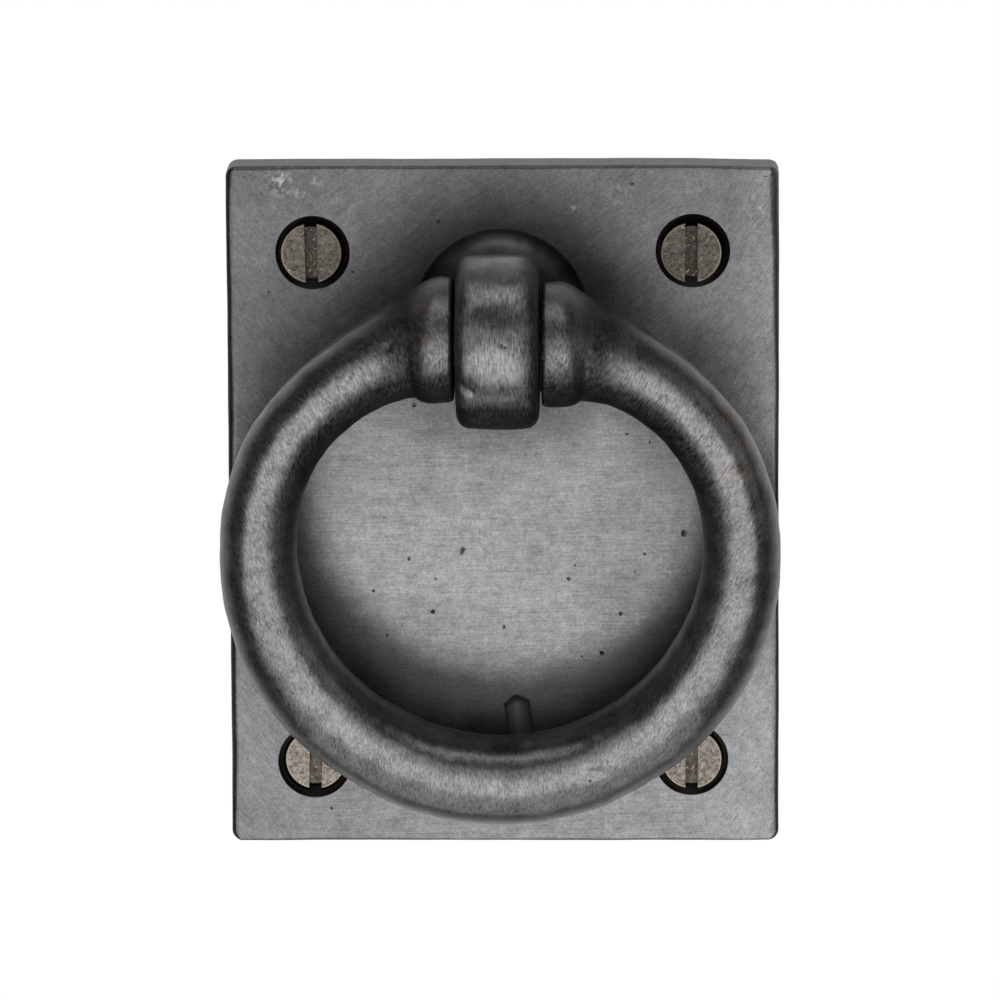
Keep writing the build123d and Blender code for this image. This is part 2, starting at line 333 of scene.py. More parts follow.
# Pale scuffs, as x, z, radius and strength: broken up by the grit so that only its peaks are rubbed bright
scuffs = [(-20.3, 30.2, 1.9, 1.0), (-18.6, 29.4, 1.0, 0.8), (-16.8, 30.2, 0.9, 0.6), (-14.9, 28.7, 0.9, 0.5),
          (23.3, 27.9, 1.9, 0.5), (6.8, 27.9, 0.8, 0.5), (-1.6, -3.2, 2.4, 0.45), (6.4, -8.6, 1.6, 0.5),
          (5.3, -10.8, 1.7, 0.5), (4.6, -13.6, 1.3, 0.4), (12.9, -10.6, 1.1, 0.7), (15.4, -6.2, 1.0, 0.6),
          (11.0, 29.0, 2.2, 0.35), (17.5, 29.5, 2.5, 0.25)]
rubbed = add_node(tree, "ShaderNodeTexNoise", {"Vector": place, "Scale": 1 / 0.0006, "Detail": 3.0, "Distortion": 1.0})
rubbed = add_node(tree, "ShaderNodeMapRange", {"Value": rubbed, "From Min": 0.5, "From Max": 0.68})
scuffed = covered(tree, place, [(x, -plate_thickness, z, radius, strength) for x, z, radius, strength in scuffs])
scuffed = add_node(tree, "ShaderNodeMath", {0: scuffed, 1: rubbed}, operation="MULTIPLY")
colour = add_node(tree, "ShaderNodeMix", {"Factor": scuffed, 6: colour, 7: linear("d2d0cd")}, data_type="RGBA")
# The metal's fine grain shows through the patina
grain = add_node(tree, "ShaderNodeTexNoise", {"Vector": place, "Scale": 1 / 0.0002, "Detail": 2.0, "Roughness": 0.6})
grain = add_node(tree, "ShaderNodeMath", {0: brushed, 1: 0.5, 2: grain}, operation="MULTIPLY_ADD")
grain = add_node(tree, "ShaderNodeMapRange", {"Value": grain, "From Min": 0.4, "From Max": 1.1,
    "To Min": 0.66, "To Max": 1.34})
colour = add_node(tree, "ShaderNodeVectorMath", {0: colour, "Scale": grain}, operation="SCALE")
# Casting pits, as x, z and radius: the small ones are shallow, and pinholes lie between them
deep_pit = 0.32
pits = [(-8.62, -5.0, 0.2), (-6.14, -6.89, 0.18), (-3.62, -4.1, 0.3), (-3.75, -4.45, 0.22), (-6.43, -10.0, 0.26),
        (0.13, -11.43, 0.2), (6.16, -6.9, 0.24), (6.72, -5.58, 0.15), (10.96, -10.21, 0.24), (9.19, -13.9, 0.3),
        (16.8, -2.58, 0.36), (13.19, -4.55, 0.18), (12.27, -6.25, 0.14), (-11.97, -8.02, 0.18), (-10.71, -12.18, 0.17),
        (-8.06, 9.46, 0.24), (-5.65, 26.52, 0.2), (12.07, 30.0, 0.2), (13.67, 5.97, 0.15), (11.56, 6.72, 0.16),
        (-13.6, 21.9, 0.15), (20.1, -15.2, 0.16), (-16.0, -28.6, 0.18), (3.2, -29.8, 0.2)]
ragged = add_node(tree, "ShaderNodeTexNoise", {"Vector": place, "Scale": 1 / 0.0003, "Detail": 1.0})
ragged = add_node(tree, "ShaderNodeMath", {0: ragged, 1: 0.00024, 2: -0.00012}, operation="MULTIPLY_ADD")
pitted = covered(tree, place, [(x, -plate_thickness, z, radius, min(radius / deep_pit, 1.0)) for x, z, radius in pits],
                 edge=0.85, heart=0.1, ragged=ragged, falloff="LINEAR")
scatter = add_node(tree, "ShaderNodeTexVoronoi", {"Vector": place, "Scale": 1 / 0.0026}).outputs
pinhole = add_node(tree, "ShaderNodeSeparateColor", {0: scatter["Color"]})
pinhole = add_node(tree, "ShaderNodeMapRange", {"Value": pinhole, "From Min": 0.35, "From Max": 1.0,
    "To Min": 0.001, "To Max": 0.05})
pinhole = add_node(tree, "ShaderNodeMapRange", {"Value": scatter["Distance"], "From Min": pinhole, "From Max": 0.0,
    "To Max": 0.7})
pitted = add_node(tree, "ShaderNodeMath", {0: pitted, 1: pinhole}, operation="MAXIMUM")
pit_dark = add_node(tree, "ShaderNodeMath", {0: pitted, 1: 0.75}, operation="MULTIPLY")
# Painted shade: the countersinks round the heads are painted near black
sink_painted_shade = add_node(tree, "ShaderNodeMapRange", {"Value": from_holes(tree, place), "From Min": 0.0040,
    "From Max": 0.0039, "To Max": 0.9})
for start, stop in [(-0.00474, -0.00468), (-0.0002, -0.0005)]:
    sunken = add_node(tree, "ShaderNodeMapRange", {"Value": spot["Y"], "From Min": start, "From Max": stop})
    sink_painted_shade = add_node(tree, "ShaderNodeMath", {0: sink_painted_shade, 1: sunken}, operation="MULTIPLY")
for cover, code in [(pit_dark, "1d1b1a"), (sink_painted_shade, "211e1d")]:
    colour = add_node(tree, "ShaderNodeMix", {"Factor": cover, 6: colour, 7: linear(code)}, data_type="RGBA")
height = add_up(tree, [(brushed, 0.0000035), (pitted, -0.00012), (grit, 0.000003), (clouds, 0.00004)])
relief = add_node(tree, "ShaderNodeBump", {"Height": height, "Distance": 1.0, "Strength": 1.0})
rough = add_up(tree, [(clouds, 0.18), (brushed, 0.1)], 0.24)
shader = add_node(tree, "ShaderNodeBsdfPrincipled", {"Base Color": colour, "Metallic": 1.0, "Roughness": rough,
    "Normal": relief})
add_node(tree, "ShaderNodeOutputMaterial", {"Surface": shader})
backplate.data.materials.append(plate_bronze)
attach(backplate, "plate")
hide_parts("backplate")

# Pivot post
# One bronze casting: a round foot on the plate, a short stem, and a flat-sided eye that carries the pin.
# The eye's rim is dressed with a brush that ran round it, and the casting's knocks are left in.
pivot_reach = 14.6
foot_radius, foot_height, foot_round, foot_edge = 7.95, 3.0, 2.4, 0.1
stem_radius, stem_cove, stem_overlap = 3.7, 2.0, 5.0
eye_radius, eye_width, eye_round, eye_crown, eye_worn = 7.95, 7.5, 1.3, 0.12, 0.03
pin_radius, pin_fit, pin_hole_edge = 2.0, 0.01, 0.2
post_bore_depth = 7.3
eye_steps, eye_rim_steps, bend_steps = 400, 30, 8
eye_back, stem_back = -15.0, -10.5
foot_patina_and_painted_shade, under_eye_patina_and_painted_shade = 0.5, 0.9
post_crease = 35
foot_face = -plate_thickness
foot_top = foot_face - foot_height
pin_y = foot_face - pivot_reach
bends = np.linspace(0, math.pi / 2, bend_steps)
foot_profile = [(post_hole_radius, foot_face - post_bore_depth), (post_hole_radius, foot_face)]
foot_profile += [(foot_radius - foot_edge, foot_face), (foot_radius, foot_face - foot_edge)]
foot_profile += [(foot_radius - foot_round * (1 - math.cos(bend)), foot_top + foot_round * (1 - math.sin(bend)))
                 for bend in bends]
foot_profile += [(stem_radius + stem_cove * (1 - math.sin(bend)), foot_top - stem_cove * (1 - math.cos(bend)))
                 for bend in bends]
foot_profile += [(stem_radius, pin_y + stem_overlap)]
stem = turned("stem", foot_profile, 0, pivot_height, 2 * turned_steps)

# The eye's section, from the pin hole over one side, the rim and the other side, as x and radius
side = eye_width / 2
eye_profile = [(-side + pin_hole_edge, pin_radius + pin_fit), (-side, pin_radius + pin_fit + pin_hole_edge)]
rim_radius = eye_radius - eye_crown
eye_profile += [(-side, radius) for radius in np.linspace(3.0, rim_radius - eye_round - 0.2, 6)]
eye_profile += [(-side + eye_round * (1 - math.cos(bend)), rim_radius - eye_round * (1 - math.sin(bend)))
                for bend in bends]
half_profile = len(eye_profile)
eye_profile += [(x, eye_radius - eye_crown * (x / (side - eye_round)) ** 2)
                for x in np.linspace(-side + eye_round, side - eye_round, eye_rim_steps)[1:-1]]
eye_profile += [(-x, radius) for x, radius in reversed(eye_profile[:half_profile])]
turns = np.linspace(0, 2 * np.pi, eye_steps, endpoint=False)
eye_loops = []
for x, radius in eye_profile:
    worn = (eye_worn * np.sin(3 * turns + 0.5) * (radius > eye_radius - eye_round)
            + 0.02 * np.sin(11 * turns + x) * (radius > eye_radius - 0.5))
    eye_loops.append(np.stack([np.full(eye_steps, x), pin_y + (radius - eye_worn + worn) * np.cos(turns),
                               pivot_height + (radius - eye_worn + worn) * np.sin(turns)], -1))


def knock_in(points, middle, inwards, length, lengths, depth):
    """Sinks a smooth dent, long along one direction, into the points near its middle."""
    away = points - np.array(middle)
    along = away @ (np.array(lengths) / np.linalg.norm(lengths))
    across = np.linalg.norm(away - along[:, None] * np.array(lengths) / np.linalg.norm(lengths), axis=1)
    fade = np.exp(-(along / length[0]) ** 2 - (across / length[1]) ** 2)
    points += depth * fade[:, None] * np.array(inwards) / np.linalg.norm(inwards)


def points_of(piece, field):
    """The places or the normals of a piece's points."""
    values = np.empty(3 * len(piece.data.vertices), np.float32)
    piece.data.vertices.foreach_get(field, values)
    return values.reshape(-1, 3)


def note(piece, name, values):
    """Keeps a number or a vector at each point of a piece, for its finish to read."""
    kind, field = ("FLOAT", "value") if np.ndim(values) == 1 else ("FLOAT_VECTOR", "vector")
    piece.data.attributes.new(name, kind, "POINT").data.foreach_set(field, np.ravel(values).astype(np.float32))


eye_points = np.concatenate(eye_loops)
knock_in(eye_points, (-2.75, -26.6, 14.75), (0.45, 1, 0.2), (1.0, 0.55), (0.75, 0, -0.65), 0.32)
knock_in(eye_points, (0.55, -27.25, 18.95), (0, 1, 0), (0.4, 0.16), (0.7, 0, -0.6), 0.06)
knock_in(eye_points, (0.85, -25.75, 13.2), (0, 1, 0.4), (0.9, 0.12), (1, 0, 0.25), 0.05)
knock_in(eye_points, (-2.67, -26.7, 20.98), (0, 1, -0.4), (0.22, 0.2), (1, 0, 0), 0.1)
eye = skin("eye", np.split(eye_points, len(eye_loops)), joined=True)
machine(eye, [stem], "UNION")
shade(eye, post_crease)
eye.name = eye.data.name = "cast_post"
eye_places = points_of(eye, "co")
eye_x, eye_y, eye_z = 1000 * eye_places.T
note(eye, "stroke_place", eye_places)
# The brush reached what faces forwards, but not the foot
least_brushed = 0.08
note(eye, "brushed", np.clip((-points_of(eye, "normal")[:, 1] - 0.35) / 0.4, least_brushed, 1) * (eye_y < stem_back))
# Darker behind the eye, on its flanks and under it: partly thick patina, partly painted shade
eye_patina_and_painted_shade = foot_patina_and_painted_shade + (1 - foot_patina_and_painted_shade) * np.clip((pivot_height + 7.0 - eye_z) / 2.5, 0, 1)
eye_patina_and_painted_shade *= np.clip((eye_y - eye_back) / (stem_back - eye_back), 0, 1)
flank_patina_and_painted_shade = np.interp(eye_x, [-3.5, -3.0, -2.4, -1.2, 1.4, 2.0, 2.6, 3.2], [0.75, 0.5, 0.25, 0, 0, 0.2, 0.6, 0.75])
eye_patina_and_painted_shade = np.maximum(eye_patina_and_painted_shade, flank_patina_and_painted_shade)
eye_patina_and_painted_shade = np.maximum(eye_patina_and_painted_shade, under_eye_patina_and_painted_shade * np.clip((pivot_height - 3.9 - eye_z) / 1.3, 0, 1))
note(eye, "patina_and_painted_shade", eye_patina_and_painted_shade)

# Cast bronze under a dark patina, handled for years: a grey metal with fine strokes that run round the bar and the eye,
# cloudy patches, brown in the hollows from patina and painted shade, and copper where the patina has rubbed through.
ring_bronze, tree, place = new_finish("patinated_bronze")
drawn = add_node(tree, "ShaderNodeAttribute", attribute_name="stroke_place").outputs["Vector"]
reached = add_node(tree, "ShaderNodeAttribute", attribute_name="brushed").outputs["Fac"]
patina_and_painted_shade = add_node(tree, "ShaderNodeAttribute", attribute_name="patina_and_painted_shade").outputs["Fac"]
fine = add_node(tree, "ShaderNodeMapping", {"Vector": drawn, "Scale": (0.00013, 0.0009, 0.0009)}, vector_type="TEXTURE")
fine = add_node(tree, "ShaderNodeTexNoise", {"Vector": fine, "Scale": 1.0, "Detail": 2.0, "Roughness": 0.6})
broad = add_node(tree, "ShaderNodeMapping", {"Vector": drawn, "Scale": (0.0008, 0.0022, 0.0022)}, vector_type="TEXTURE")
broad = add_node(tree, "ShaderNodeTexNoise", {"Vector": broad, "Scale": 1.0, "Detail": 2.0, "Roughness": 0.55})
clouds = add_node(tree, "ShaderNodeTexNoise", {"Vector": place, "Scale": 1 / 0.0024, "Detail": 5.0, "Roughness": 0.6})
grit = add_node(tree, "ShaderNodeTexNoise", {"Vector": place, "Scale": 1 / 0.00028, "Detail": 2.0, "Roughness": 0.6})
fine, grit = [add_node(tree, "ShaderNodeMix", {"Factor": reached, 2: 0.5, 3: texture}) for texture in (fine, grit)]
tone = add_up(tree, [(clouds, 0.8), (fine, 1.5), (broad, 0.3), (grit, 0.6)], -0.4)
tone = add_node(tree, "ShaderNodeMapRange", {"Value": tone, "From Min": 0.85, "From Max": 1.55})
colour = add_node(tree, "ShaderNodeMix", {"Factor": tone, 6: linear("696767"), 7: linear("b2b1b0")}, data_type="RGBA")
# Brown and dull in the hollows: partly patina where the brush never came, partly painted shade at the necks, the
# collars, round the eye and on the arms' inner sides
patchy = add_node(tree, "ShaderNodeMapRange", {"Value": clouds, "From Min": 0.3, "From Max": 0.65,
    "To Min": 1.0, "To Max": 0.88})
patina_and_painted_shade = add_node(tree, "ShaderNodeMath", {0: patina_and_painted_shade, 1: patchy}, operation="MULTIPLY")
streaky = add_node(tree, "ShaderNodeMapRange", {"Value": fine, "From Min": 0.3, "From Max": 0.7,
    "To Min": 1.2, "To Max": 0.8})
patina_and_painted_shade = add_node(tree, "ShaderNodeMath", {0: patina_and_painted_shade, 1: streaky}, operation="MULTIPLY", use_clamp=True)
layers = [(patina_and_painted_shade, "2f2b29")]
# Marks, as x, y, z, radius and strength: copper where the patina has rubbed through, dark nicks, and painted glints
flaked = add_node(tree, "ShaderNodeTexNoise", {"Vector": place, "Scale": 1 / 0.0005, "Detail": 3.0, "Distortion": 1.0})
flaked = add_node(tree, "ShaderNodeMapRange", {"Value": flaked, "From Min": 0.5, "From Max": 0.66})
copper = [(20.78, -19.27, 11.42, 2.2, 1.0), (21.68, -19.74, 8.93, 1.8, 1.0), (22.31, -19.77, 6.18, 2.2, 0.8),
          (-19.5, -20.14, 12.27, 1.6, 0.35), (-21.36, -19.59, 10.06, 1.6, 0.35), (-22.29, -19.79, 6.42, 1.6, 0.3),
          (-6.33, -23.79, 21.4, 1.3, 0.7), (-6.49, -24.75, 19.01, 0.6, 1.0)]
nicks = [(0.3, -27.25, 19.2, 0.2, 0.8), (0.55, -27.25, 18.98, 0.24, 0.9), (0.85, -27.2, 18.72, 0.24, 0.9),
         (1.65, -27.2, 19.25, 0.22, 0.7), (-2.67, -26.69, 20.98, 0.2, 0.8), (-2.85, -26.4, 14.9, 1.1, 0.4),
         (8.15, -14.81, -23.76, 0.24, 0.9), (-25.24, -16.94, -0.32, 0.2, 0.7)]
painted_glints = [(4.1, -24.66, 17.4, 0.32, 1.0), (-7.4, -24.7, 19.0, 0.2, 0.8)]
for marks, texture, code in [(copper, flaked, "9c6a4a"), (nicks, 1.0, "1c1a19"), (painted_glints, 1.0, "f0dcae")]:
    marked = add_node(tree, "ShaderNodeMath", {0: covered(tree, place, marks), 1: texture}, operation="MULTIPLY")
    layers.append((marked, code))
# Fine bright specks, where the peaks of the casting's grain are rubbed bare
bare = add_node(tree, "ShaderNodeMapping", {"Vector": drawn, "Scale": (0.0002, 0.0007, 0.0007)}, vector_type="TEXTURE")
bare = add_node(tree, "ShaderNodeTexNoise", {"Vector": bare, "Scale": 1.0, "Detail": 1.0})
bare = add_node(tree, "ShaderNodeMapRange", {"Value": bare, "From Min": 0.66, "From Max": 0.76, "To Max": 0.6})
kept = add_node(tree, "ShaderNodeMapRange", {"Value": patina_and_painted_shade, "From Min": 0.1, "From Max": 0.45,
    "To Min": 1.0, "To Max": 0.0})
bare = add_node(tree, "ShaderNodeMath", {0: bare, 1: kept}, operation="MULTIPLY")
for cover, code in layers + [(bare, "d6d0c8")]:
    colour = add_node(tree, "ShaderNodeMix", {"Factor": cover, 6: colour, 7: linear(code)}, data_type="RGBA")
sheen = add_node(tree, "ShaderNodeMapRange", {"Value": patina_and_painted_shade, "To Min": 1.0, "To Max": 0.5})
height = add_up(tree, [(fine, 0.000004), (broad, 0.00001), (grit, 0.0000025), (clouds, 0.000025)])
relief = add_node(tree, "ShaderNodeBump", {"Height": height, "Distance": 1.0, "Strength": 1.0})
rough = add_up(tree, [(clouds, 0.16), (fine, 0.08), (patina_and_painted_shade, 0.3)], 0.17)
shader = add_node(tree, "ShaderNodeBsdfPrincipled", {"Base Color": colour, "Metallic": 1.0, "Roughness": rough,
    "Specular Tint": sheen, "Normal": relief})
add_node(tree, "ShaderNodeOutputMaterial", {"Surface": shader})
eye.data.materials.append(ring_bronze)
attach(eye, "plate")
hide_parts("pivot_post")

# Strike
# A small bronze key with a ridged top and pointed ends, driven into a slot of the plate.
# The ring comes to rest on its ridge.
strike_height, strike_shoulder, strike_softness = 1.6, 1.0, 0.42
softness_steps, softened_from, strike_crease = 3, 15, 60
shell = bmesh.new()
for corner, (x, z) in enumerate(strike_plan(0)):
    top = strike_height if corner in (0, 3) else strike_shoulder
    for y in (-plate_thickness + strike_seat, -plate_thickness - top):
        shell.verts.new((x / 1000, y / 1000, z / 1000))
bmesh.ops.convex_hull(shell, input=shell.verts)
bmesh.ops.dissolve_limit(shell, angle_limit=math.radians(1), verts=shell.verts, edges=shell.edges)
bmesh.ops.recalc_face_normals(shell, faces=shell.faces)
mesh = bpy.data.meshes.new("strike_key")
shell.to_mesh(mesh)
shell.free()
strike = bpy.data.objects.new("strike_key", mesh)
bpy.context.scene.collection.objects.link(strike)
softened = strike.modifiers.new("softened", "BEVEL")
softened.width, softened.segments = strike_softness / 1000, softness_steps
softened.limit_method, softened.angle_limit = "ANGLE", math.radians(softened_from)
settle(strike)
shade(strike, strike_crease)

# Drawn bronze, a little green with age, with streaks along its length
strike_bronze, tree, place = new_finish("aged_bronze_bar")
streaks = add_node(tree, "ShaderNodeMapping", {"Vector": place, "Rotation": (0, -strike_turn, 0),
    "Scale": (0.00022, 0.001, 0.003)}, vector_type="TEXTURE")
streaks = add_node(tree, "ShaderNodeTexNoise", {"Vector": streaks, "Scale": 1.0, "Detail": 3.0})
colour = add_node(tree, "ShaderNodeMix", {"Factor": streaks, 6: linear("5f635f"), 7: linear("858983")},
                  data_type="RGBA")
relief = add_node(tree, "ShaderNodeBump", {"Height": streaks, "Distance": 0.00002, "Strength": 1.0})
rough = add_node(tree, "ShaderNodeMath", {0: streaks, 1: 0.2, 2: 0.6}, operation="MULTIPLY_ADD")
shader = add_node(tree, "ShaderNodeBsdfPrincipled", {"Base Color": colour, "Metallic": 1.0, "Roughness": rough,
    "Normal": relief})
add_node(tree, "ShaderNodeOutputMaterial", {"Surface": shader})
strike.data.materials.append(strike_bronze)
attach(strike, "plate")
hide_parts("strike")

# Ring
# One bronze casting, thicker at the bottom, whose arms swell into a barrel-shaped collar at each side of the eye.
# Each collar is bored for an end of the pin. The ring leans back until its bottom rests on the strike.
ring_radius, ring_rise, bend_radius = 22.0, 0.8, 10.0
collar_face, collar_round, collar_face_radius = 3.97, 0.45, 5.3
bore_radius, bore_depth, bore_edge = 2.05, 4.5, 0.15
bottom_radius, bottom_swell = 4.05, 0.1
rest_gap = 0.15
# The headings between which the sections turn from square to the pin to square to the bar
collar_square, arm_square = 12.0, 38.0
# How much higher the necks and collars lie at each side than a true circle
neck_lifts, collar_lifts = {1: 0.03, -1: 0.25}, {1: -0.3, -1: 0.2}
# The pad that is left at the bottom from where the gate was cut: its height, first and last heading, and softness
gate_height, gate_first, gate_last, gate_softness = 0.2, 156.5, 207, 0.35
ring_step, bar_steps = 0.22, 100
ring_crease = 50
# By the angle from the top: how far the bar's middle stands out from the circle, and its radius
ring_stations = [(0, 0, 5.6), (6, 0, 5.76), (11, 0, 5.7), (15, 0, 5.44), (18.5, 0, 5.0), (22, 0, 4.56),
                 (28, 0.05, 4.03), (36, 0.15, 3.66), (48, 0.3, 3.42), (60, 0.42, 3.42), (74, 0.3, 3.44),
                 (90, 0.07, 3.55), (105, -0.1, 3.76), (120, -0.15, 3.92), (135, -0.09, 4.0), (150, -0.04, 4.02),
                 (165, 0.05, 4.04), (180, bottom_swell, bottom_radius)]
ring_stations += [(360 - heading, swell, radius) for heading, swell, radius in reversed(ring_stations[:-1])]
ring_middle = ring_radius - ring_rise
ring_drop = ring_middle + ring_radius + bottom_swell
lean = math.asin((pivot_reach - strike_height - rest_gap - bottom_radius) / ring_drop)
bend_heading = math.acos((ring_middle - bend_radius) / (ring_radius - bend_radius))
bend_start = (ring_radius - bend_radius) * math.sin(bend_heading)


def curve_through(knots, values, at):
    """A smooth curve through values at uneven knots."""
    knots, values = np.array(knots, float), np.array(values, float)
    slopes = np.gradient(values, knots)
    i = np.clip(np.searchsorted(knots, at) - 1, 0, len(knots) - 2)
    span = knots[i + 1] - knots[i]
    t = (at - knots[i]) / span
    return ((2 * t ** 3 - 3 * t ** 2 + 1) * values[i] + (t ** 3 - 2 * t ** 2 + t) * span * slopes[i]
            + (3 * t ** 2 - 2 * t ** 3) * values[i + 1] + (t ** 3 - t ** 2) * span * slopes[i + 1])


def hump(at, middle, width):
    """A smooth hump of height 1."""
    return np.exp(-((at - middle) / width) ** 2)


first_heading = math.degrees(math.asin((collar_face + collar_round - bend_start) / bend_radius))
section_count = int(2 * math.pi * ring_radius / ring_step)
headings = np.linspace(first_heading, 360 - first_heading, section_count)
knots, swells, radii = zip(*ring_stations)
swells, radii = curve_through(knots, swells, headings), curve_through(knots, radii, headings)
# The casting isn't quite even: its lower left bulges
swells = swells + 0.12 * hump(headings, 236, 20) - 0.05 * hump(headings, 272, 14)
nearest = np.radians(np.minimum(headings, 360 - headings))
from_top = np.degrees(nearest)
sides = np.where(headings <= 180, 1.0, -1.0)
in_bend = nearest <= bend_heading
across = sides * np.where(in_bend, bend_start + bend_radius * np.sin(nearest),
                          (ring_radius + swells) * np.sin(nearest))
rise = np.where(in_bend, bend_radius * (np.cos(nearest) - 1), (ring_radius + swells) * np.cos(nearest) - ring_middle)
rise = rise + np.where(sides > 0, neck_lifts[1], neck_lifts[-1]) * hump(from_top, 24, 8)
rise = rise + np.where(sides > 0, collar_lifts[1], collar_lifts[-1]) * hump(from_top, 0, 18)
lengths = np.concatenate([[0], np.cumsum(np.hypot(np.diff(across), np.diff(rise)))])
# The collars run out more softly on the side that faces the ring's middle
soft_sections, soft_width = 40, 15.0
spread = hump(np.arange(-soft_sections, soft_sections + 1), 0, soft_width)
inner_radii = np.convolve(np.pad(radii, soft_sections, mode="edge"), spread / spread.sum(), mode="valid")
squared = np.clip((from_top - collar_square) / (arm_square - collar_square), 0, 1)
leans = sides * nearest * squared ** 2 * (3 - 2 * squared)
gate = (gate_height / (1 + np.exp(-(headings - gate_first) / gate_softness))
        / (1 + np.exp((headings - gate_last) / gate_softness)))
around = np.linspace(0, 2 * np.pi, bar_steps, endpoint=False)
outwards = np.sin(around)
collar_profile = [(collar_face + bore_depth, bore_radius), (collar_face + bore_edge, bore_radius),
                  (collar_face, bore_radius + bore_edge)]
collar_profile += [(collar_face, radius) for radius in np.linspace(2.8, collar_face_radius - 0.2, 5)]
collar_profile += [(collar_face + collar_round * (1 - math.sin(bend)),
                    collar_face_radius + (radii[0] - collar_face_radius) * math.cos(bend))
                   for bend in np.linspace(math.pi / 2, 0, 7)[:-1]]


def collar_loops(side):
    """The loops of one collar, from the end of its bore over its face to where the bar begins."""
    made = []
    for x, radius in collar_profile:
        lift = collar_lifts[side] * min(max((radius - bore_radius - 0.5) / 2.5, 0), 1)
        made.append(np.stack([np.full(bar_steps, side * x), radius * outwards + lift, radius * np.cos(around)], -1))
    return made


loops = collar_loops(1)
for heading, x, up, radius, inner, length, pad in zip(leans, across, rise, radii, inner_radii, lengths, gate):
    radius = radius + (inner - radius) * np.clip(-outwards, 0, 1)
    wave = (0.018 * np.sin(0.9 * length + 2 * around) + 0.014 * np.sin(1.7 * length - 3 * around + 1.0)
            + 0.008 * np.sin(3.1 * length + 5 * around))
    reach = radius + wave + pad * np.clip(outwards, 0, 1) ** 2
    loops.append(np.stack([x + reach * outwards * math.sin(heading), up + reach * outwards * math.cos(heading),
                           reach * np.cos(around)], -1))
loops += reversed(collar_loops(-1))
flat = np.concatenate(loops)
hinge = np.array([0, pin_y, pivot_height])
ring_up = np.array([0, -math.sin(lean), math.cos(lean)])
ring_front = np.array([0, -math.cos(lean), -math.sin(lean)])
ring_points = hinge + flat[:, :1] * np.array([1, 0, 0]) + flat[:, 1:2] * ring_up + flat[:, 2:] * ring_front
# Knocks on the ring: a bean-shaped one and a crescent on the arms, and a flat with a pit near the bottom
knock_in(ring_points, (-9.78, -23.15, 18.0), (0.2, 1, -0.3), (0.5, 0.3), (0.6, 0, 0.8), 0.2)
knock_in(ring_points, (10.05, -23.1, 17.05), (0.1, 1, 0), (0.75, 0.2), (0.25, 0, -1), 0.1)
knock_in(ring_points, (8.4, -14.93, -23.0), (0, 1, 0.1), (1.0, 0.42), (1, 0, 0.1), 0.2)
knock_in(ring_points, (8.0, -14.8, -23.8), (0, 1, 0.2), (0.16, 0.16), (1, 0, 0), 0.15)
ring = skin("cast_ring", np.split(ring_points, len(loops)))
# The brush ran up and down, fanned out a little towards the top, and reached only what faces forwards
brush_fan, brush_depth, brush_short = 0.018, 0.5, 1.7
strokes = ring_points * [1, brush_short, brush_short]
strokes[:, 0] += brush_depth * ring_points[:, 1] - brush_fan * ring_points[:, 0] * ring_points[:, 2]
note(ring, "stroke_place", strokes / 1000)
note(ring, "brushed", np.clip((-points_of(ring, "normal")[:, 1] - 0.45) / 0.4, least_brushed, 1))
# Darker at the necks, on the collars' faces, and on the side of the arms that faces the ring's middle: partly patina,
# partly painted shade
collar_patina_and_painted_shade = np.full(len(collar_profile), 0.8)
neck_patina_and_painted_shade = (np.clip(0.28 - (from_top - 13) / 20, 0, 0.28)
           + 0.85 * hump(from_top, np.where(sides > 0, 23.5, 21.0), 6.5))
inner_side_patina_and_painted_shade = 0.95 * np.clip((118 - from_top) / 60, 0, 1)
neck_patina_and_painted_shade, inner_side_patina_and_painted_shade = [np.concatenate([collar_patina_and_painted_shade, along, collar_patina_and_painted_shade])[:, None]
                          for along in (neck_patina_and_painted_shade, inner_side_patina_and_painted_shade)]
inner_starts = np.pad(np.interp(from_top, [50, 85], [0.02, 0.2]), len(collar_profile), mode="edge")[:, None]
note(ring, "patina_and_painted_shade", np.maximum(neck_patina_and_painted_shade, inner_side_patina_and_painted_shade * np.clip((-outwards - inner_starts) / 0.3, 0, 1)).ravel())
shade(ring, ring_crease)
ring.data.materials.append(ring_bronze)
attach(ring, "ring")
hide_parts("ring")

# Hinge pin and post screw
# The pin is ground rod pressed through the eye. The post screw is a turned machine screw from behind the plate.
# Both are CAD solids as they are, because their plain turned shape is right.
# Ground steel: fine marks of the wheel round the rod, which blur its gloss along its length
pin_steel, tree, place = new_finish("ground_steel")
marks = add_node(tree, "ShaderNodeMapping", {"Vector": place, "Scale": (0.00012, 0.004, 0.004)}, vector_type="TEXTURE")
marks = add_node(tree, "ShaderNodeTexNoise", {"Vector": marks, "Scale": 1.0, "Detail": 2.0})
# Painted shade: the steel is coloured near black, for the shade in the narrow gaps where the pin shows
colour = add_node(tree, "ShaderNodeMix", {"Factor": marks, 6: linear("2b2926"), 7: linear("4a4640")}, data_type="RGBA")
rough = add_node(tree, "ShaderNodeMath", {0: marks, 1: 0.2, 2: 0.22}, operation="MULTIPLY_ADD")
shader = add_node(tree, "ShaderNodeBsdfPrincipled", {"Base Color": colour, "Metallic": 1.0, "Roughness": rough})
add_node(tree, "ShaderNodeOutputMaterial", {"Surface": shader})
pin_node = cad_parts["hinge_pin"]
pin_node.data.materials.clear()
pin_node.data.materials.append(pin_steel)

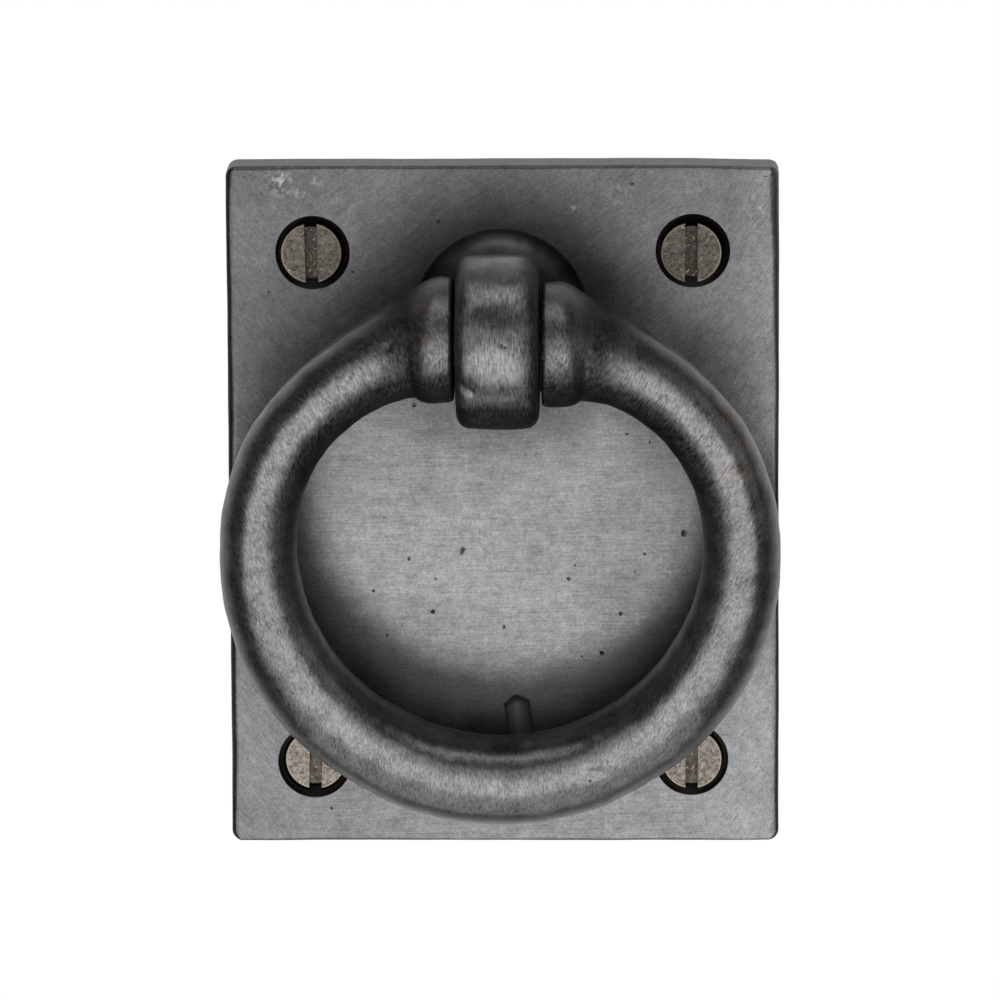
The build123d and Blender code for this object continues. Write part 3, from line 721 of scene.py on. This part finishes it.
# Aged brass, for the plate screws too: dull and mottled, warm where it is scratched, with golden specks, darker deeper
# down in the slots, and a painted highlight on the heads' rims
heads_x, heads_z = 0.03, -0.26
screw_brass, tree, place = new_finish("aged_brass")
spot = add_node(tree, "ShaderNodeSeparateXYZ", {0: place}).outputs
mottle = add_node(tree, "ShaderNodeTexNoise", {"Vector": place, "Scale": 1 / 0.00032, "Detail": 3.0, "Roughness": 0.7})
specks = add_node(tree, "ShaderNodeTexNoise", {"Vector": place, "Scale": 1 / 0.00022, "Detail": 2.0, "Distortion": 0.8})
specks = add_node(tree, "ShaderNodeMapRange", {"Value": specks, "From Min": 0.6, "From Max": 0.7})
nicks = add_node(tree, "ShaderNodeMapping", {"Vector": place, "Rotation": (0, math.radians(-55), 0),
    "Scale": (0.0009, 1, 0.00014)}, vector_type="TEXTURE")
nicks = add_node(tree, "ShaderNodeTexNoise", {"Vector": nicks, "Scale": 1.0, "Detail": 1.0, "Distortion": 0.6})
nicks = add_node(tree, "ShaderNodeMapRange", {"Value": nicks, "From Min": 0.63, "From Max": 0.72})
worn = add_node(tree, "ShaderNodeMath", {0: specks, 1: nicks}, operation="MAXIMUM")
base = add_node(tree, "ShaderNodeMapRange", {"Value": mottle, "From Min": 0.36, "From Max": 0.66})
colour = add_node(tree, "ShaderNodeMix", {"Factor": base, 6: linear("69635d"), 7: linear("c6bdb2")}, data_type="RGBA")
# The upper two are darker than the lower two, and the right two than the left
darker = add_node(tree, "ShaderNodeMapRange", {"Value": spot["Z"], "From Min": -0.01, "From Max": 0.01, "To Max": 0.45})
rightmost = add_node(tree, "ShaderNodeMapRange", {"Value": spot["X"], "From Min": -0.01, "From Max": 0.01,
    "To Max": 0.1})
darker = add_node(tree, "ShaderNodeMath", {0: darker, 1: rightmost}, operation="ADD")
# Darker deeper down, in the slots, fading out above the shanks
slot_darkness = add_node(tree, "ShaderNodeMapRange", {"Value": spot["Y"], "From Min": -0.0042, "From Max": -0.0037,
    "To Max": 0.7})
above_shank = add_node(tree, "ShaderNodeMapRange", {"Value": spot["Y"], "From Min": -0.0032, "From Max": -0.0028,
    "To Min": 1.0, "To Max": 0.0})
slot_darkness = add_node(tree, "ShaderNodeMath", {0: slot_darkness, 1: above_shank}, operation="MULTIPLY")
# The heads' scratches are bare brass, and their rims are bare brass with a painted highlight
rim = add_node(tree, "ShaderNodeVectorMath", {0: place, 1: (heads_x / 1000, 0, heads_z / 1000)}, operation="SUBTRACT")
rim = add_node(tree, "ShaderNodeMapRange", {"Value": from_holes(tree, rim), "From Min": 0.0026,
    "From Max": 0.00274, "To Max": 0.7})
facing = add_node(tree, "ShaderNodeMapRange", {"Value": spot["Y"], "From Min": -0.0041, "From Max": -0.0042})
rim = add_node(tree, "ShaderNodeMath", {0: rim, 1: facing}, operation="MULTIPLY")
worn = add_node(tree, "ShaderNodeMath", {0: worn, 1: rim}, operation="MAXIMUM")
bright = add_node(tree, "ShaderNodeMath", {0: darker, 1: -0.55, 2: 1.0}, operation="MULTIPLY_ADD")
bright = add_node(tree, "ShaderNodeMath", {0: worn, 1: bright}, operation="MULTIPLY")
for cover, code in [(darker, "302c28"), (slot_darkness, "3a332f"), (bright, "ecdcc0")]:
    colour = add_node(tree, "ShaderNodeMix", {"Factor": cover, 6: colour, 7: linear(code)}, data_type="RGBA")
height = add_up(tree, [(mottle, 0.00005), (worn, -0.00002)])
relief = add_node(tree, "ShaderNodeBump", {"Height": height, "Distance": 1.0, "Strength": 1.0})
rough = add_node(tree, "ShaderNodeMath", {0: mottle, 1: 0.25, 2: 0.3}, operation="MULTIPLY_ADD")
shader = add_node(tree, "ShaderNodeBsdfPrincipled", {"Base Color": colour, "Metallic": 1.0, "Roughness": rough,
    "Normal": relief})
add_node(tree, "ShaderNodeOutputMaterial", {"Surface": shader})
post_screw_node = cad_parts["post_screw"]
post_screw_node.data.materials.clear()
post_screw_node.data.materials.append(screw_brass)

# Plate screws
# Four number 6 slotted brass wood screws, with a cut thread and a gimlet point, sunk below the plate's face.
# One screw is turned and slotted here, and the node tree sets it in the four holes, each a little turned.
head_radius, head_land, head_edge, head_sunk = 2.81, 0.15, 0.07, 0.42
shank_radius, root_radius, crest_radius, thread_pitch = 1.42, 1.02, 1.4, 1.35
screw_length, point_length, shank_length, point_radius = 19.05, 3.2, 4.2, 0.02
slot_width, slot_depth = 1.16, 0.62
ridge_width = 0.22
thread_steps, screw_steps = 190, 44
most_turned, turning_seed = math.radians(1.3), 4
screw_crease = 30
head_cone = (head_radius - shank_radius) / sink_slope
screw_angles = np.linspace(0, 2 * np.pi, screw_steps, endpoint=False)
screw_profile = [(head_radius - head_edge, 0.0), (head_radius, head_edge), (head_radius, head_land),
                 (shank_radius, head_land + head_cone), (shank_radius, shank_length)]
screw_loops = [turned_loop(radius, depth, screw_angles) for radius, depth in screw_profile]
for depth in np.linspace(shank_length + 0.05, screw_length, thread_steps):
    taper = np.clip((screw_length - depth) / point_length, 0, 1) ** 0.75
    begin = np.clip((depth - shank_length) / thread_pitch, 0, 1)
    phase = (depth / thread_pitch - screw_angles / (2 * np.pi)) % 1
    ridge = np.clip(1 - np.abs(phase - 0.5) / ridge_width, 0, 1) ** 0.8
    radius = root_radius + (shank_radius - root_radius) * (1 - begin) + (crest_radius - root_radius) * ridge * begin
    screw_loops.append(turned_loop(np.maximum(radius * taper, point_radius), depth, screw_angles))
screws = skin("wood_screws", screw_loops)
slot_half, slot_end = slot_width / 2, head_radius + overcut
slot_section = np.array([(-slot_half, -slot_end), (slot_half, -slot_end), (slot_half, slot_end),
                         (-slot_half, slot_end)])
machine(screws, [skin("driver_slot", [np.insert(slot_section, 1, depth, axis=1) for depth in (-overcut, slot_depth)])])
shade(screws, screw_crease)

setting = bpy.data.node_groups.new("set_screws", "GeometryNodeTree")
for name, kind in [("Screw", "NodeSocketGeometry"), ("Spacing X", "NodeSocketFloat"), ("Spacing Z", "NodeSocketFloat"),
                   ("Head Place", "NodeSocketVector"), ("Turn", "NodeSocketVector"), ("Seed", "NodeSocketInt"),
                   ("Finish", "NodeSocketMaterial")]:
    setting.interface.new_socket(name, in_out="INPUT", socket_type=kind)
setting.interface.new_socket("Screws", in_out="OUTPUT", socket_type="NodeSocketGeometry")
given = add_node(setting, "NodeGroupInput").outputs
holes = add_node(setting, "GeometryNodeMeshGrid", {"Size X": given["Spacing X"], "Size Y": given["Spacing Z"],
    "Vertices X": 2, "Vertices Y": 2})
holes = add_node(setting, "GeometryNodeTransform", {"Geometry": holes, "Translation": given["Head Place"],
    "Rotation": (math.pi / 2, 0, 0)})
back_turn = add_node(setting, "ShaderNodeVectorMath", {0: given["Turn"], "Scale": -1.0}, operation="SCALE")
turned_by = add_node(setting, "FunctionNodeRandomValue", {0: back_turn, 1: given["Turn"], "Seed": given["Seed"]},
                     data_type="FLOAT_VECTOR")
placed = add_node(setting, "GeometryNodeInstanceOnPoints", {"Points": holes, "Instance": given["Screw"],
    "Rotation": turned_by})
solid = add_node(setting, "GeometryNodeRealizeInstances", {0: placed})
finished = add_node(setting, "GeometryNodeSetMaterial", {0: solid, "Material": given["Finish"]})
add_node(setting, "NodeGroupOutput", {0: finished})
set_in = screws.modifiers.new("set_screws", "NODES")
set_in.node_group = setting
sockets = {item.name: item.identifier for item in setting.interface.items_tree if item.in_out == "INPUT"}
head_place = (heads_x / 1000, (head_sunk - plate_thickness) / 1000, heads_z / 1000)
for name, value in [("Spacing X", screw_spacing_x / 1000), ("Spacing Z", screw_spacing_z / 1000),
                    ("Head Place", head_place), ("Turn", (0.0, most_turned, 0.0)), ("Seed", turning_seed),
                    ("Finish", screw_brass)]:
    set_in[sockets[name]] = value
settle(screws)
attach(screws, "plate")
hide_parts("plate_screws")

# Studio
# A white floor far below, a white surround, a broad soft light low in front, weaker ones above and below it, and others
# overhead, below and at the right.
floor_reach, floor_drop = 3, 1.2
floor_mesh = bpy.data.meshes.new("floor")
floor_corners = [(-1, -1), (1, -1), (1, 1), (-1, 1)]
floor_mesh.from_pydata([(x * floor_reach, y * floor_reach, -floor_drop) for x, y in floor_corners], [], [(0, 1, 2, 3)])
floor = bpy.data.objects.new("floor", floor_mesh)
bpy.context.scene.collection.objects.link(floor)
floor_paint = bpy.data.materials.new("white_floor")
floor_paint.use_nodes = True
tree = floor_paint.node_tree
tree.nodes.clear()
glow = add_node(tree, "ShaderNodeEmission", {"Color": (1, 1, 1, 1), "Strength": 1.0})
add_node(tree, "ShaderNodeOutputMaterial", {"Surface": glow})
floor_mesh.materials.append(floor_paint)
floor.visible_diffuse = False
floor.visible_glossy = False
floor.visible_shadow = False

world = bpy.data.worlds.new("studio")
bpy.context.scene.world = world
world.use_nodes = True
tree = world.node_tree
tree.nodes.clear()
towards = add_node(tree, "ShaderNodeTexCoord").outputs["Generated"]
towards = add_node(tree, "ShaderNodeSeparateXYZ", {0: towards}).outputs["Y"]
near_wall = add_node(tree, "ShaderNodeMapRange", {"Value": towards, "From Min": 0.05, "From Max": 0.35,
    "To Min": 0.05, "To Max": 0.24}, interpolation_type="SMOOTHSTEP")
far_wall = add_node(tree, "ShaderNodeMapRange", {"Value": towards, "From Min": 0.35, "From Max": 0.75,
    "To Max": 0.25}, interpolation_type="SMOOTHSTEP")
wall = add_node(tree, "ShaderNodeMath", {0: near_wall, 1: far_wall}, operation="ADD")
looked_at = add_node(tree, "ShaderNodeLightPath").outputs["Is Camera Ray"]
seen = add_node(tree, "ShaderNodeMix", {"Factor": looked_at, 2: wall, 3: 1.0})
sky = add_node(tree, "ShaderNodeBackground", {"Color": (1, 1, 1, 1), "Strength": seen})
add_node(tree, "ShaderNodeOutputWorld", {"Surface": sky})

# Soft boxes by middle, facing, width, height and radiance
soft_boxes = {
    "front_light": ((0, -0.30, -0.11), (0, 1, 0), 0.60, 0.25, 1.1),
    "low_light": ((-0.08, -0.30, -0.30), (0, 1, 0), 0.60, 0.13, 0.4),
    "high_light": ((0, -0.30, 0.085), (0, 1, 0), 0.60, 0.14, 0.5),
    "overhead_light": ((0, -0.11, 0.30), (0, 0, -1), 0.26, 0.16, 0.75),
    "floor_light": ((0, -0.045, -0.10), (0, 0, 1), 0.13, 0.07, 0.45),
    "top_left_light": ((-0.165, -0.22, 0.30), (0, 0, -1), 0.17, 0.14, 0.45),
    "top_right_light": ((0.165, -0.22, 0.30), (0, 0, -1), 0.17, 0.14, 0.6),
    "right_light": ((0.30, -0.13, 0.05), (-1, 0, 0), 0.16, 0.22, 0.2),
}
for name, (middle, facing, width, height, radiance) in soft_boxes.items():
    light = bpy.data.lights.new(name, "AREA")
    light.shape = "RECTANGLE"
    light.size, light.size_y = width, height
    light.energy = radiance * math.pi * width * height
    soft_box = bpy.data.objects.new(name, light)
    soft_box.location = middle
    soft_box.rotation_euler = Vector(facing).to_track_quat("-Z", "Y").to_euler()
    soft_box.visible_camera = False
    bpy.context.scene.collection.objects.link(soft_box)

# The camera looks down a little on the pull, almost square on
azimuth, elevation, roll = math.radians(1.2), math.radians(10.9), math.radians(0.29)
distance = 0.8
sensor, picture_width, pixels_per_mm = 36, 1000, 10.77
back = Vector((math.sin(azimuth) * math.cos(elevation), -math.cos(azimuth) * math.cos(elevation), math.sin(elevation)))
right = Vector((math.cos(azimuth), math.sin(azimuth), 0))
up = back.cross(right)
turned_right = math.cos(roll) * right - math.sin(roll) * up
turned_up = math.sin(roll) * right + math.cos(roll) * up
lens = bpy.data.cameras.new("camera")
lens.sensor_width = sensor
lens.lens = sensor * pixels_per_mm * 1000 * distance / picture_width
lens.shift_x, lens.shift_y = -0.003, -0.004
lens.clip_start, lens.clip_end = 0.01, 20
camera = bpy.data.objects.new("camera", lens)
turned_view = Matrix((turned_right, turned_up, back)).transposed().to_4x4()
camera.matrix_world = Matrix.Translation(back * distance) @ turned_view
bpy.context.scene.collection.objects.link(camera)
bpy.context.scene.camera = camera
bpy.context.scene.view_settings.view_transform = "Standard"
